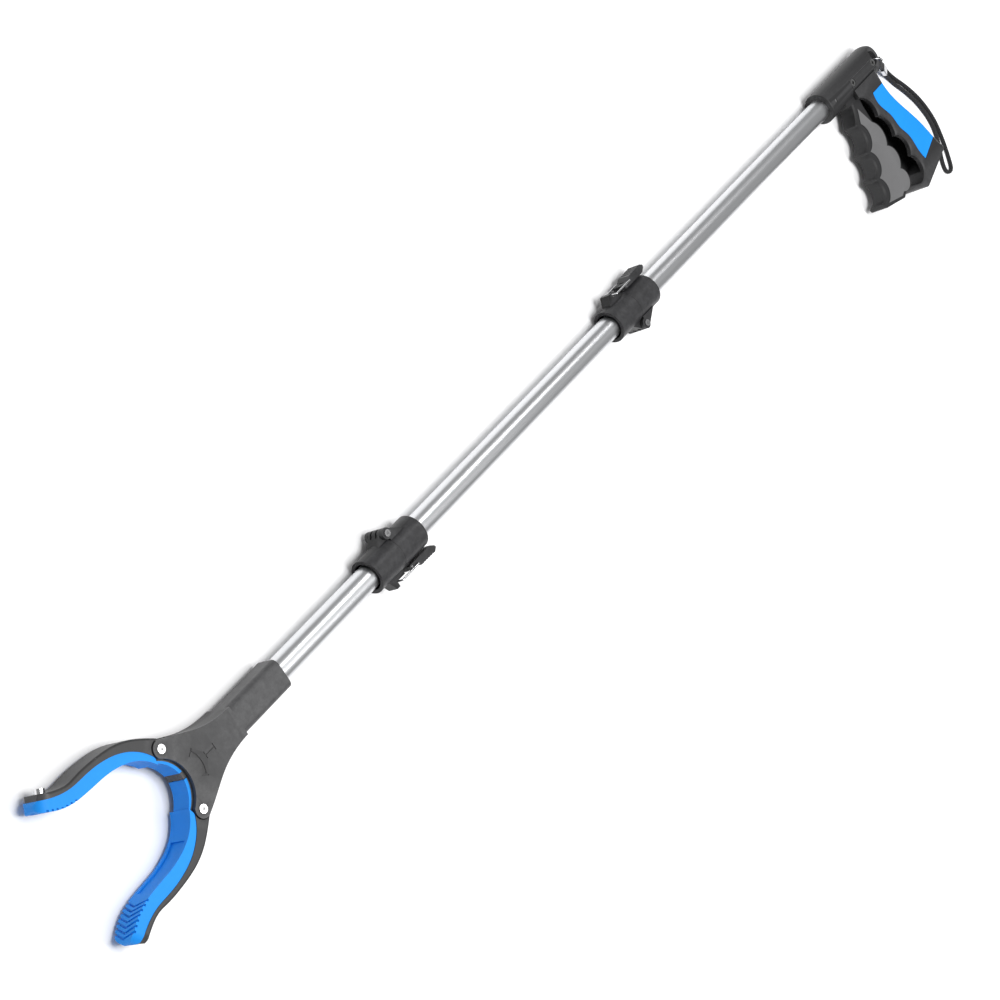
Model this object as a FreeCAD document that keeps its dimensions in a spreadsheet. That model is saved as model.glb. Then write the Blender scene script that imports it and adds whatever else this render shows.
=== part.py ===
import FreeCAD, Part

import math
import os
import re
from types import SimpleNamespace

import Sketcher

# A tri-fold reacher grabber lying on its side. X runs along the tool from the lanyard eye to the jaws,
# Y runs across the grip plane towards the grip, Z is up. Stations along X are counted from the back end
# of the barrel, and every sub-part's Placement then moves them so that the eye's centre is the origin.
# A hinge's own frame has its parting plane at x = 0, its pin on the +y side and its latch on the -y side.

V = FreeCAD.Vector
DOC = FreeCAD.newDocument("reacher")
SHEET = DOC.addObject("Spreadsheet::Sheet", "Sizes")

SIZES = {
    # tubes
    "tube_radius": 9.0,
    "tube_wall": 1.0,
    "seat_gap": 0.03,           # between a tube and the bore that it is fixed in
    "run_gap": 0.05,            # radial, between a pin and what turns on it
    # stations along the tool
    "eye_back": 10.5,
    "barrel_length": 102.0,
    "tube_seat": 73.5,
    "hinge_one": 426.0,
    "hinge_two": 756.0,
    "sleeve_back": 895.0,
    "tube_end": 940.0,
    "neck_seam": 947.0,
    "jaw_station": 1007.7,
    # barrel
    "barrel_radius": 13.75,
    "eye_radius": 6.75,
    "eye_face_radius": 11.5,
    "eye_half": 5.0,
    "strip_half": 4.0,
    "rear_screw": 23.2,
    "trigger_station": 60.5,
    "tube_pin_station": 92.6,
    "screw_radius": 1.75,
    "screw_head": 3.1,
    "screw_head_height": 2.0,
    "screw_sunk": 0.4,
    "tube_pin_radius": 1.5,
    # grip
    "grip_half": 13.75,
    "well_half": 8.8,
    "pad_thick": 2.4,
    "pad_groove": 0.35,
    # trigger
    "trigger_half": 7.9,
    "panel_rise": 0.45,
    "trigger_hub": 6.0,
    "hub_half": 4.6,
    "trigger_swing": 12.0,      # degrees between released and squeezed
    "nest": 3.0,                # how far the squeezed trigger reaches behind the grip's front edge
    "spring_radius": 3.9,
    "spring_wire": 0.9,
    "spring_pitch": 1.0,
    # hinge collars
    "collar_radius": 13.25,
    "collar_length": 28.0,
    "mouth_depth": 6.0,
    "mouth_gap": 1.6,
    "hinge_gap": 0.1,           # from each collar's end face to the parting plane
    "pin_offset": 16.0,
    "pin_radius": 1.5,
    "lug_radius": 4.2,
    "knuckle_half": 6.2,
    "ear_inner": 6.5,
    "ear_thick": 3.0,
    "ear_foot": 16.0,
    "knuckle_foot": 13.0,
    "rib_top": 18.7,
    "rib_tip": 2.6,
    "notch_floor": 11.3,
    "hinge_head": 2.6,
    "hinge_head_height": 1.2,
    "socket_radius": 1.2,
    # latches
    "lever_back": 6.0,
    "lever_pivot": 15.9,
    "lever_pin": 1.0,
    "bracket_half": 2.4,
    "bracket_top": 17.6,
    "lever_half": 6.0,
    "lever_floor": 14.0,
    "lever_neck": 17.8,
    "lever_top": 20.4,
    "lever_end": 33.5,
    "lever_slot": 2.7,
    "rib_step": 2.6,
    "rib_width": 1.1,
    "rib_depth": 0.7,
    "bail_back": 12.0,
    "bail_height": 17.2,
    "bail_reach": 9.0,
    "bail_half": 6.95,
    "bail_wire": 0.75,
    "bail_bend": 0.95,
    "bail_inset": 2.6,
    "catch_half": 4.6,
    "catch_start": 2.0,
    "catch_wall": 11.5,
    "catch_end": 14.2,
    "catch_floor": 15.9,
    "catch_top": 20.0,
    # neck sleeve and head
    "sleeve_half": 11.25,
    "sleeve_corner": 5.0,
    "cable_hole": 3.0,
    "head_half": 12.0,
    "cheek_inner": 8.8,
    "jaw_spread": 24.1,
    "jaw_lug": 6.2,
    "jaw_screw": 1.75,
    "jaw_screw_head": 3.1,
    "jaw_screw_sunk": 1.0,
    "jaw_screw_proud": 0.5,
    "mark_width": 0.8,
    "mark_depth": 0.4,
    # jaws
    "jaw_half": 11.0,
    "jaw_hub": 6.6,
    "hub_relief": 6.9,
    "tail_half": 8.3,
    "tail_gap": 2.6,
    "jaw_open": 30.0,           # degrees from the closed outline to the rest pose
    "heel_gap": 0.4,
    "jaw_swing": 28.8,          # degrees that the jaw turns, which leaves the tips just apart
    "pad_half": 10.5,
    "tip_round": 8.0,
    "pad_floor_half": 7.4,
    "pad_floor_depth": 1.3,
    "lining": 2.4,
    "cheek_depth": 8.4,
    "finger_depth": 6.0,
    "chevron_step": 3.6,
    "chevron_width": 1.5,
    "chevron_depth": 1.3,
    "chevron_rise": 4.5,
    "magnet_radius": 3.5,
    "magnet_proud": 2.6,
    "magnet_seat": 1.6,
    # pull
    "cable_radius": 0.8,
    "yoke_half": 3.0,
    "yoke_pin": 1.2,
    "yoke_pin_spread": 11.0,
    "yoke_pin_back": 7.5,
    "yoke_travel": 8.0,
    "yoke_slot_gap": 0.35,
    "yoke_layer_gap": 0.3,
    # lanyard
    "floor_drop": 13.75,
    "ring_radius": 7.5,
    "ring_wire": 0.45,
    "tab_length": 12.0,
    "tab_thick": 3.2,
    "crimp_length": 9.0,
    "crimp_width": 8.4,
    "crimp_thick": 4.0,
    "cord_radius": 1.7,
}

NODES = []


def fill_sheet():
    for row, (alias, amount) in enumerate(SIZES.items(), start=1):
        SHEET.set("A%d" % row, alias)
        SHEET.set("B%d" % row, str(amount))
        SHEET.setAlias("B%d" % row, alias)
    DOC.recompute()
    return SimpleNamespace(**{alias: float(SHEET.get(alias)) for alias in SIZES})


S = fill_sheet()


# ---------------------------------------------------------------- sheet expressions


def cell(expression):
    """The expression with every size's name turned into its sheet reference."""
    def refer(match):
        word = match.group()
        return "Sizes." + word if word in SIZES else word
    return re.sub(r"[a-z]\w*", refer, expression)


def value(expression):
    """The number that a sum of sizes comes to, as a sketch's first guess."""
    total = 0.0
    for sign, word in re.findall(r"([+-]?)\s*([a-z]\w*|[0-9.]+)", expression):
        amount = getattr(S, word) if word in SIZES else float(word)
        total += -amount if sign == "-" else amount
    return total


def place(item, along="-eye_back", turned=False):
    """Moves a sub-part from its own frame to the tool's; turned puts a hinge's pin on the -Y side."""
    spin = FreeCAD.Rotation(V(1, 0, 0), 180 if turned else 0)
    item.Placement = FreeCAD.Placement(V(), spin)
    item.setExpression("Placement.Base.x", cell(along))


def keep(item, node, along="-eye_back", turned=False):
    item.Label = node
    place(item, along, turned)
    NODES.append(item)
    return item


def keep_shape(shape, node, along="-eye_back", turned=False):
    item = DOC.addObject("Part::Feature", node)
    item.Shape = shape.removeSplitter()
    return keep(item, node, along, turned)


# ---------------------------------------------------------------- PartDesign helpers


def new_body(node):
    return DOC.addObject("PartDesign::Body", node)


def new_sketch(body, role, lift="0"):
    sketch = body.newObject("Sketcher::SketchObject", body.Name + "_sketch")
    plane = next(item for item in body.Origin.OriginFeatures if item.Role == role)
    sketch.AttachmentSupport = [(plane, "")]
    sketch.MapMode = "FlatFace"
    sketch.setExpression("AttachmentOffset.Base.z", cell(lift))
    return sketch


def draw_circle(sketch, radius, across="0", up="0"):
    centre = V(value(across), value(up), 0)
    index = sketch.addGeometry(Part.Circle(centre, V(0, 0, 1), value(radius)))
    bind(sketch, Sketcher.Constraint("Radius", index, value(radius)), radius)
    pin_down(sketch, index, 3, across, up)


def draw_polygon(sketch, corners):
    """A closed outline whose corners are pairs of sheet expressions."""
    points = [V(value(across), value(up), 0) for across, up in corners]
    count = len(points)
    first = sketch.GeometryCount
    for index in range(count):
        sketch.addGeometry(Part.LineSegment(points[index], points[(index + 1) % count]))
    for index in range(count):
        after = first + (index + 1) % count
        sketch.addConstraint(Sketcher.Constraint("Coincident", first + index, 2, after, 1))
    for index, (across, up) in enumerate(corners):
        pin_down(sketch, first + index, 1, across, up)


def pin_down(sketch, index, spot, across, up):
    if across == up == "0":
        sketch.addConstraint(Sketcher.Constraint("Coincident", index, spot, -1, 1))
        return
    for kind, expression in (("DistanceX", across), ("DistanceY", up)):
        if expression == "0":
            axis = -2 if kind == "DistanceX" else -1
            sketch.addConstraint(Sketcher.Constraint("PointOnObject", index, spot, axis))
        else:
            bind(sketch, Sketcher.Constraint(kind, -1, 1, index, spot, value(expression)), expression)


def bind(sketch, constraint, expression):
    number = sketch.addConstraint(constraint)
    sketch.setExpression("Constraints[%d]" % number, cell(expression))


def pad(body, sketch, length):
    feature = body.newObject("PartDesign::Pad", body.Name + "_pad")
    feature.Profile = sketch
    feature.setExpression("Length", cell(length))
    return feature


def pocket_through(body, sketch):
    """A pocket that goes right through both ways, so that its direction can't miss the solid."""
    feature = body.newObject("PartDesign::Pocket", body.Name + "_pocket")
    feature.Profile = sketch
    feature.Type = "ThroughAll"
    feature.SideType = "Symmetric"
    return feature


# ---------------------------------------------------------------- Part helpers


def primitive(kind, name, sizes, at=("0", "0", "0"), turn=None):
    item = DOC.addObject("Part::" + kind, name)
    for attribute, expression in sizes.items():
        item.setExpression(attribute, cell(expression))
    item.Placement = FreeCAD.Placement(V(), turn or FreeCAD.Rotation())
    for letter, expression in zip("xyz", at):
        item.setExpression("Placement.Base." + letter, cell(expression))
    return item


ALONG_X = FreeCAD.Rotation(V(0, 1, 0), 90)


def rod(name, radius, length, at, turn=None):
    return primitive("Cylinder", name, {"Radius": radius, "Height": length}, at, turn)


def block(name, length, width, height, at):
    return primitive("Box", name, {"Length": length, "Width": width, "Height": height}, at)


def fuse(name, items):
    result = DOC.addObject("Part::MultiFuse", name)
    result.Shapes = items
    return result


def cut(name, base, tools):
    result = DOC.addObject("Part::Cut", name)
    result.Base = base
    result.Tool = tools[0] if len(tools) == 1 else fuse(name + "_tools", tools)
    return result


# ---------------------------------------------------------------- outline helpers


def vec(point, height=0.0):
    return V(point[0], point[1], height)


def line(a, b):
    return Part.LineSegment(vec(a), vec(b)).toShape()


def arc(a, b, c):
    return Part.Arc(vec(a), vec(b), vec(c)).toShape()


def spline(points):
    curve = Part.BSplineCurve()
    curve.interpolate([vec(point) for point in points])
    return curve.toShape()


def polyline(points):
    return [line(a, b) for a, b in zip(points, points[1:])]


def slab(edges, low, high):
    face = Part.Face(Part.Wire(edges))
    face.translate(V(0, 0, low))
    return face.extrude(V(0, 0, high - low))


def both_ways(edges, half):
    return slab(edges, -half, half)


def post(point, radius, low, high):
    return Part.makeCylinder(radius, high - low, V(point[0], point[1], low))


def bar(x_low, x_high, y_low, y_high, z_low, z_high):
    return Part.makeBox(x_high - x_low, y_high - y_low, z_high - z_low, V(x_low, y_low, z_low))


def turned(shape, point, degrees):
    copy = shape.copy()
    copy.rotate(vec(point), V(0, 0, 1), degrees)
    return copy


def long_edges(shape, half, inside):
    """Edges that lie in the two faces at z = +-half and whose middle passes the given test."""
    found = []
    for edge in shape.Edges:
        box = edge.BoundBox
        flat = box.ZLength < 0.01 and abs(abs(box.ZMin) - half) < 0.01
        if flat and inside(edge.valueAt((edge.FirstParameter + edge.LastParameter) / 2)):
            found.append(edge)
    return found


def upright_edges(shape, inside):
    """Straight edges along Z whose place passes the given test."""
    return [edge for edge in shape.Edges
            if edge.BoundBox.ZLength > 1 and edge.BoundBox.XLength + edge.BoundBox.YLength < 0.01
            and inside(edge.BoundBox.Center)]


# ---------------------------------------------------------------- handle

BACK_EDGE = [(-6.5, 96.4), (-2.7, 87.0), (1.4, 74.0), (7.7, 59.0), (18.2, 36.7), (22.2, 18.5)]
GRIP_TOP = 6.0
SCALLOPS = [
    [(64.5, 14.0), (50.2, 29.3), (51.8, 37.8)],
    [(51.8, 37.8), (42.4, 51.7), (45.0, 61.7)],
    [(45.0, 61.7), (35.4, 73.3), (39.8, 84.4)],
    [(39.8, 84.4), (33.1, 94.9), (46.9, 109.0)],
]
FINGERS = [
    [(66.3, 13.6), (67.2, 24.5), (72.3, 34.8)],
    [(72.3, 34.8), (66.0, 47.2), (74.9, 59.5)],
    [(74.9, 59.5), (68.1, 71.0), (77.1, 83.0)],
    [(77.1, 83.0), (70.7, 93.4), (78.6, 103.9)],
]


def grip_edges():
    top_back = (22.5, GRIP_TOP)
    top_front = (64.5, GRIP_TOP)
    edges = [line(top_back, top_front), line(top_front, SCALLOPS[0][0])]
    edges += [arc(*points) for points in SCALLOPS]
    edges.append(arc((46.9, 109.0), (45.4, 114.0), (40.6, 115.7)))
    edges.append(line((40.6, 115.7), (-1.5, 103.6)))
    edges.append(arc((-1.5, 103.6), (-5.7, 101.2), BACK_EDGE[0]))
    edges.append(spline(BACK_EDGE))
    edges.append(line(BACK_EDGE[-1], top_back))
    return edges


def grip_outer():
    """The grip's outside, rounded along its back, its heel and its scalloped front."""
    body = both_ways(grip_edges(), S.grip_half)
    back = long_edges(body, S.grip_half, lambda p: p.x < 0.5 * (110 - p.y) - 12 and 18.5 < p.y < 90)
    body = body.makeFillet(6.0, back)
    front = long_edges(body, S.grip_half, lambda p: p.x > 30 and 20 < p.y < 109.2)
    return body.makeChamfer(1.2, front)


def pad_edges(gap):
    """The inlay's outline, drawn past the grip's back; gap draws it smaller."""
    front = [(44.3 - gap, 19.2 + gap), (44.0 - gap, 33.0), (37.4 - gap, 47.0), (35.6 - gap, 58.3),
             (30.2 - gap, 70.0), (28.9 - gap, 83.0), (26.0 - gap, 96.4 - 1.3 * gap)]
    edges = [line((8.0, 18.6 + gap), front[0]), spline(front)]
    return edges + polyline([front[-1], (-14.0, 83.2 - 1.3 * gap), (-14.0, 18.6 + gap), (8.0, 18.6 + gap)])


def barrel_outer():
    tail = Part.makeSphere(S.barrel_radius, V(S.barrel_radius, 0, 0))
    length = S.barrel_length - S.barrel_radius
    tube = Part.makeCylinder(S.barrel_radius, length, V(S.barrel_radius, 0, 0), V(1, 0, 0))
    front = [edge for edge in tube.Edges if edge.BoundBox.XMin > S.barrel_length - 0.1]
    tube = tube.makeFillet(1.0, front)
    strip_back = S.rear_screw - S.strip_half
    strip_front = S.trigger_station + S.strip_half
    strip = bar(strip_back, strip_front, -S.strip_half, S.strip_half, -S.barrel_radius, S.barrel_radius)
    flange = bar(S.eye_back + S.eye_face_radius, 79.0, 9.0, 14.4, -9.4, 9.4)
    return tail.multiFuse([tube, strip, flange])


def eye_cuts():
    eye = (S.eye_back, 0.0)
    top = post(eye, S.eye_face_radius, S.eye_half, S.barrel_radius + 1)
    under = post(eye, S.eye_face_radius, -S.barrel_radius - 1, -S.eye_half)
    back = bar(-1, S.eye_back, -20, 20, S.eye_half, S.barrel_radius + 1)
    back_under = bar(-1, S.eye_back, -20, 20, -S.barrel_radius - 1, -S.eye_half)
    hole = post(eye, S.eye_radius, -S.barrel_radius, S.barrel_radius)
    return [top, under, back, back_under, hole]


def handle_well():
    """The hollow that the trigger works in, from the barrel down through the grip, open at the front."""
    slot_back = S.trigger_station - S.trigger_hub - 2.0
    slot_front = S.tube_seat - 2.5
    corners = [(slot_back, -8.5), (slot_front, -8.5), (slot_front, 14.6), (110.0, 14.6), (110.0, 109.6),
               (49.0, 109.6), (40.0, 104.5), (10.0, 95.0), (9.5, 86.0), (20.0, 60.0), (30.0, 38.0),
               (36.0, 14.6), (slot_back, 9.0), (slot_back, -8.5)]
    return both_ways(polyline(corners), S.well_half)


def screw_cuts():
    cuts = []
    for station in (S.rear_screw, S.trigger_station):
        point = (station, 0.0)
        cuts.append(post(point, S.screw_radius + S.seat_gap, -S.barrel_radius, S.barrel_radius))
        seat = S.barrel_radius - S.screw_sunk - S.screw_head_height
        cuts.append(post(point, S.screw_head + 0.15, seat, S.barrel_radius + 1))
        cuts.append(post(point, S.screw_head + 0.15, -S.barrel_radius - 1, -seat))
    pin = (S.tube_pin_station, 0.0)
    cuts.append(post(pin, S.tube_pin_radius + S.seat_gap, -S.barrel_radius, S.barrel_radius))
    return cuts


def handle_outer():
    outer = barrel_outer().fuse(grip_outer())
    tube_length = S.barrel_length - S.tube_seat + 1
    bore = Part.makeCylinder(S.tube_radius + S.seat_gap, tube_length, V(S.tube_seat, 0, 0), V(1, 0, 0))
    channel = Part.makeCylinder(S.cable_radius + 1.0, 10, V(S.tube_seat - 5, 0, 0), V(1, 0, 0))
    return outer.cut(eye_cuts() + screw_cuts() + [handle_well(), bore, channel])


def pad_core():
    """What the inlay is laid on: the grip, thinner by the inlay all round."""
    core = both_ways(grip_edges(), S.grip_half - S.pad_thick)
    core.translate(V(S.pad_thick, 0, 0))
    return core


def handle():
    outer = handle_outer()
    core = pad_core()
    recess = both_ways(pad_edges(0.0), S.grip_half + 2).cut(core)
    inlay = both_ways(pad_edges(S.pad_groove), S.grip_half + 2).cut(core)
    keep_shape(outer.common(inlay), "grip_pad")
    upper = outer.cut(recess).common(bar(-50, 200, -50, 200, 0, 50))
    keep_shape(upper, "handle_shell_upper")
    keep_shape(upper.mirror(V(), V(0, 0, 1)), "handle_shell_lower")


def trigger():
    """The squeezed outline, turned forward to where it rests released."""
    pivot = (S.trigger_station, 0.0)
    back = [[(x - S.nest, y) for x, y in points] for points in SCALLOPS[1:]]
    heel = (47.5, 108.4)
    lowest = back[-1]
    back[-1] = [lowest[0], (lowest[1][0] + S.heel_gap, lowest[1][1]), (heel[0] - 5.0, 104.3)]
    edges = [arc(*points) for points in FINGERS]
    edges.append(arc((78.6, 103.9), (78.6, 107.0), (76.4, 108.4)))
    edges.append(line((76.4, 108.4), heel))
    edges.append(line(heel, back[-1][-1]))
    edges += [arc(*reversed(points)) for points in reversed(back)]
    top = [back[0][0], (53.0, 22.0), (S.trigger_station - S.trigger_hub + 0.6, 2.0),
           (S.trigger_station, -3.0), (S.trigger_station + 5.5, 2.0), FINGERS[0][0]]
    edges += polyline(top)
    blade = both_ways(edges, S.trigger_half)
    cusps = upright_edges(blade, lambda p: p.x > 70 and 30 < p.y < 90)
    blade = blade.makeFillet(1.6, cusps)
    finger_edges = long_edges(blade, S.trigger_half, lambda p: p.x > 64.5 and 20 < p.y < 104)
    blade = blade.makeChamfer(1.3, finger_edges)
    panel = trigger_panel()
    hub = post(pivot, S.trigger_hub, -S.trigger_half, S.trigger_half)
    spring_well = post(pivot, S.trigger_hub + 2.4, S.hub_half, S.trigger_half + 1)
    bore = post(pivot, S.screw_radius + S.run_gap, -S.trigger_half - 1, S.trigger_half + 1)
    whole = blade.multiFuse([hub, panel]).cut(spring_well).cut(bore)
    keep_shape(turned(whole, pivot, -S.trigger_swing), "trigger")


def trigger_panel():
    """The raised flat on each side of the trigger, set back from the finger grooves."""
    front = [[(x - 6.5, y) for x, y in points] for points in FINGERS[1:]]
    back = [[(x - S.nest + 1.6, y) for x, y in points] for points in SCALLOPS[1:]]
    back[-1] = [back[-1][0], back[-1][1], (46.0, 103.0)]
    front[-1] = [front[-1][0], front[-1][1], (71.5, 105.4)]
    edges = [line((62.0, 22.0), front[0][0])]
    edges += [arc(*points) for points in front]
    edges += [line(front[-1][-1], (50.0, 106.0)), line((50.0, 106.0), back[-1][-1])]
    edges += [arc(*reversed(points)) for points in reversed(back)]
    edges.append(line(back[0][0], (62.0, 22.0)))
    return both_ways(edges, S.trigger_half + S.panel_rise)


def trigger_spring():
    """A torsion coil round the pivot screw, beside the trigger's hub."""
    height = S.well_half - S.hub_half - 2 * S.spring_wire
    helix = Part.makeHelix(S.spring_pitch, height, S.spring_radius)
    circle = Part.makeCircle(S.spring_wire / 2, V(S.spring_radius, 0, 0), V(0, 1, 0))
    coil = Part.Wire(helix).makePipeShell([Part.Wire(circle)], True, True)
    coil.translate(V(S.trigger_station, 0, S.hub_half + S.spring_wire / 2 + 0.15))
    keep_shape(coil, "trigger_spring")


def pin_screw(node, station, radius):
    """A through screw of the handle with a cross-recessed head on top and a nut end below."""
    reach = "barrel_radius-screw_sunk"
    shank = rod(node + "_shank", radius, "2*(%s)" % reach, (station, "0", "-(%s)" % reach))
    head_at = (station, "0", "%s-screw_head_height" % reach)
    head = rod(node + "_head", "screw_head", "screw_head_height", head_at)
    nut = rod(node + "_nut", "screw_head", "screw_head_height", (station, "0", "-(%s)" % reach))
    slots = []
    for name, length, width in (("long", "3.6", "0.9"), ("cross", "0.9", "3.6")):
        corner = (station + "-%s/2" % length, "-%s/2" % width, reach + "-1.0")
        slots.append(block(node + "_" + name, length, width, "2", corner))
    keep(cut(node, fuse(node + "_solid", [shank, head, nut]), slots), node)


def tube_pin():
    body = new_body("tube_pin")
    sketch = new_sketch(body, "XY_Plane", "-(barrel_radius-0.6)")
    draw_circle(sketch, "tube_pin_radius", "tube_pin_station")
    pad(body, sketch, "2*(barrel_radius-0.6)")
    keep(body, "tube_pin")


# ---------------------------------------------------------------- tubes and cable


def tube(node, start, end):
    body = new_body(node)
    sketch = new_sketch(body, "YZ_Plane", start)
    draw_circle(sketch, "tube_radius")
    draw_circle(sketch, "tube_radius-tube_wall")
    pad(body, sketch, "(%s)-(%s)" % (end, start))
    keep(body, node)
    return body


def rear_tube():
    body = tube("rear_tube", "tube_seat", "hinge_one-0.5")
    sketch = new_sketch(body, "XY_Plane")
    draw_circle(sketch, "tube_pin_radius+seat_gap", "tube_pin_station")
    body.Tip = pocket_through(body, sketch)


def cable(node, start, end):
    body = new_body(node)
    sketch = new_sketch(body, "YZ_Plane", start)
    draw_circle(sketch, "cable_radius")
    pad(body, sketch, "(%s)-(%s)" % (end, start))
    keep(body, node)


# ---------------------------------------------------------------- hinges (own frame)


def collar_blank(name, start, mouth):
    """A collar's barrel from x = start, with its bore and the wider mouth round the tube."""
    outer = rod(name + "_barrel", "collar_radius", "collar_length-hinge_gap", (start, "0", "0"), ALONG_X)
    bore = rod(name + "_bore", "tube_radius+seat_gap", "collar_length+2", (start + "-1", "0", "0"), ALONG_X)
    funnel = rod(name + "_mouth", "tube_radius+mouth_gap", "mouth_depth+1", (mouth, "0", "0"), ALONG_X)
    return outer, [bore, funnel]


def gusset(name, foot_from, foot_to, tip_from, tip_to, low, high):
    """A rib in the hinge's own frame that narrows from the collar up to its lug."""
    sizes = {
        "Xmin": foot_from, "Xmax": foot_to, "X2min": tip_from, "X2max": tip_to,
        "Ymin": "tube_radius+1.2", "Ymax": "rib_top",
        "Zmin": low, "Zmax": high, "Z2min": low, "Z2max": high,
    }
    return primitive("Wedge", name, sizes)


def rear_collar(node, along, turned_over):
    outer, cuts = collar_blank(node, "-collar_length", "-collar_length-1")
    solids = [outer]
    for side, low, high in (("up", "ear_inner", "ear_inner+ear_thick"),
                            ("down", "-ear_inner-ear_thick", "-ear_inner")):
        solids.append(rod(node + "_lug_" + side, "lug_radius", "ear_thick", ("0", "pin_offset", low)))
        solids.append(gusset(node + "_rib_" + side, "-ear_foot", "-hinge_gap", "-rib_tip", "0", low, high))
    bracket = (node + "_bracket", "2*bracket_half", "bracket_top-tube_radius-1.2", "2*bracket_half",
               ("-lever_back-bracket_half", "-bracket_top", "-bracket_half"))
    solids.append(block(*bracket))
    ear_top = "ear_inner+ear_thick+1"
    cuts.append(rod(node + "_pin_hole", "pin_radius+seat_gap", "2*(%s)" % ear_top,
                    ("0", "pin_offset", "-(%s)" % ear_top)))
    cuts.append(block(node + "_notch", "lug_radius+1.4", "5", "2*ear_inner",
                      ("-lug_radius-0.4", "notch_floor", "-ear_inner")))
    cuts.append(rod(node + "_lever_hole", "lever_pin+seat_gap", "2*bracket_half+2",
                    ("-lever_back", "-lever_pivot", "-bracket_half-1")))
    keep(cut(node, fuse(node + "_solid", solids), cuts), node, along, turned_over)


def front_collar(node, along, turned_over):
    outer, cuts = collar_blank(node, "hinge_gap", "collar_length-mouth_depth")
    width = "2*knuckle_half"
    solids = [outer]
    solids.append(rod(node + "_lug", "lug_radius", width, ("0", "pin_offset", "-knuckle_half")))
    solids.append(gusset(node + "_rib", "hinge_gap", "knuckle_foot", "0", "rib_tip",
                         "-knuckle_half", "knuckle_half"))
    solids.append(block(node + "_catch", "catch_end-catch_start", "catch_floor-tube_radius-1.2",
                        "2*catch_half", ("catch_start", "-catch_floor", "-catch_half")))
    solids.append(block(node + "_catch_wall", "catch_end-catch_wall", "catch_top-tube_radius-1.2",
                        "2*catch_half", ("catch_wall", "-catch_top", "-catch_half")))
    solids.append(catch_ramp(node + "_ramp"))
    cuts.append(rod(node + "_pin_hole", "pin_radius+run_gap", "2*knuckle_half+2",
                    ("0", "pin_offset", "-knuckle_half-1")))
    for side in ("-3.4", "2.0"):
        ring = rod(node + "_ring" + side[-1], "lug_radius+1", "1.4", ("0", "pin_offset", side))
        core = rod(node + "_core" + side[-1], "lug_radius-1", "1.4", ("0", "pin_offset", side))
        cuts.append(cut(node + "_groove" + side[-1], ring, [core]))
    keep(cut(node, fuse(node + "_solid", solids), cuts), node, along, turned_over)


def catch_ramp(name):
    """The slope in front of the catch's wall, down to the collar."""
    sizes = {
        "Xmin": "catch_end", "Xmax": "catch_end+0.8", "X2min": "catch_end", "X2max": "catch_end+6",
        "Ymin": "-catch_top", "Ymax": "-tube_radius-1.2",
        "Zmin": "-catch_half", "Zmax": "catch_half", "Z2min": "-catch_half", "Z2max": "catch_half",
    }
    return primitive("Wedge", name, sizes)


def hinge_screw(node, along, turned_over):
    """The hinge's pin: a socket-head screw through both ears, with a nut end below."""
    face = "ear_inner+ear_thick"
    shank = rod(node + "_shank", "pin_radius", "2*(%s)" % face, ("0", "pin_offset", "-(%s)" % face))
    head = rod(node + "_head", "hinge_head", "hinge_head_height", ("0", "pin_offset", face))
    nut_at = ("0", "pin_offset", "-(%s)-hinge_head_height" % face)
    nut = rod(node + "_nut", "hinge_head", "hinge_head_height", nut_at)
    socket = primitive("Prism", node + "_socket", {"Circumradius": "socket_radius", "Height": "2"},
                       ("0", "pin_offset", face + "+0.2"))
    far = primitive("Prism", node + "_far", {"Circumradius": "socket_radius", "Height": "2"},
                    ("0", "pin_offset", "-(%s)-2.2" % face))
    keep(cut(node, fuse(node + "_solid", [shank, head, nut]), [socket, far]), node, along, turned_over)


def latch_lever(node, along, turned_over):
    body = new_body(node)
    sketch = new_sketch(body, "XY_Plane", "-lever_half")
    nose = "-lever_back+2.4"
    corners = [
        (nose, "-lever_pivot+1.2"), (nose, "-lever_pivot-1.2"), (nose + "-0.9", "-lever_neck"),
        ("-lever_back-4", "-lever_neck"), ("-lever_back-8", "-lever_top+0.4"),
        ("-lever_end+3", "-lever_top"), ("-lever_end", "-lever_top+2"), ("-lever_end+0.6", "-lever_top+3.8"),
        ("-collar_length-0.8", "-lever_floor"), (nose + "-0.9", "-lever_floor"),
    ]
    draw_polygon(sketch, corners)
    pad(body, sketch, "2*lever_half")
    holes = new_sketch(body, "XY_Plane")
    draw_circle(holes, "lever_pin+run_gap", "-lever_back", "-lever_pivot")
    draw_circle(holes, "bail_wire+run_gap", "-bail_back", "-bail_height")
    pocket_through(body, holes)
    slot = new_sketch(body, "XZ_Plane")
    slot_back = "-lever_back-bracket_half-1.4"
    draw_polygon(slot, [(slot_back, "-lever_slot"), ("0", "-lever_slot"),
                        ("0", "lever_slot"), (slot_back, "lever_slot")])
    pocket_through(body, slot)
    body.Tip = lever_ribs(body)
    keep(body, node, along, turned_over)


def lever_ribs(body):
    """Finger grooves across the thumb pad, one cut and its pattern."""
    sketch = new_sketch(body, "XY_Plane", "-lever_half")
    first = "-lever_back-11"
    draw_polygon(sketch, [(first, "-lever_top-1"), (first + "-rib_width", "-lever_top-1"),
                          (first + "-rib_width", "-lever_top+rib_depth"),
                          (first, "-lever_top+rib_depth")])
    groove = pocket_through(body, sketch)
    pattern = body.newObject("PartDesign::LinearPattern", body.Name + "_ribs")
    pattern.Originals = [groove]
    pattern.Direction = (sketch, ["H_Axis"])
    pattern.Reversed = True
    pattern.setExpression("Length", cell("4*rib_step"))
    pattern.Occurrences = 5
    return pattern


def latch_bail(node, along, turned_over):
    """A square loop of wire, its two ends turned into the lever."""
    back = -S.bail_back
    front = S.bail_reach
    height = -S.bail_height
    inner = S.bail_half - S.bail_inset
    corners = [V(back, height, -inner), V(back, height, -S.bail_half), V(front, height, -S.bail_half),
               V(front, height, S.bail_half), V(back, height, S.bail_half), V(back, height, inner)]
    keep_shape(piped(corners, S.bail_wire, lambda index: S.bail_bend), node, along, turned_over)


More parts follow.
